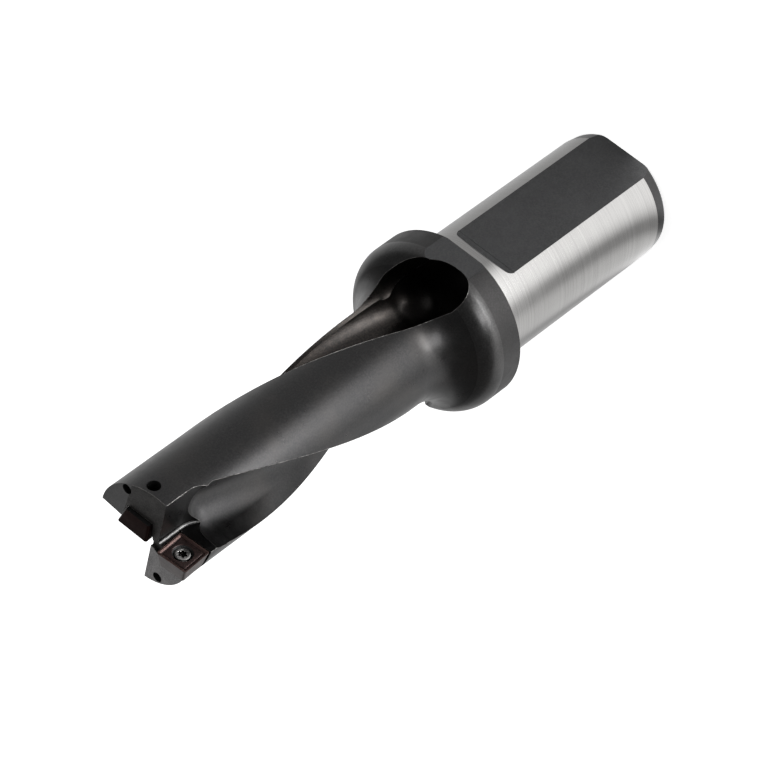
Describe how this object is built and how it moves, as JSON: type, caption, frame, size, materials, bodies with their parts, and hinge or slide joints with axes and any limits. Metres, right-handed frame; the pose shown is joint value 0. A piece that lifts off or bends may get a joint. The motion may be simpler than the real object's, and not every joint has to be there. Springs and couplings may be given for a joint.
{
  "type": "indexable drill",
  "caption": "Metalworking drill with a cylindrical clamping shank, a domed flange, helical flutes and screwed-in square inserts at its tip.",
  "frame": {"origin": "centre of the shank's end face, on the drill's axis", "axes": "+Z along the axis towards the cutting tip; the shank's clamping flat faces -Y"},
  "size_m": [0.042, 0.0411, 0.1599],
  "materials": {
    "drill_body": "black oxide with a ground bright shank",
    "peripheral_insert": "dark brown coated carbide, satin",
    "central_insert": "dark brown coated carbide, satin",
    "peripheral_insert_screw": "plain steel, satin",
    "central_insert_screw": "plain steel, satin"
  },
  "bodies": {
    "root": {"drill_body": "drill_body", "peripheral_insert": "peripheral_insert", "central_insert": "central_insert", "peripheral_insert_screw": "peripheral_insert_screw", "central_insert_screw": "central_insert_screw"}
  },
  "joints": []
}
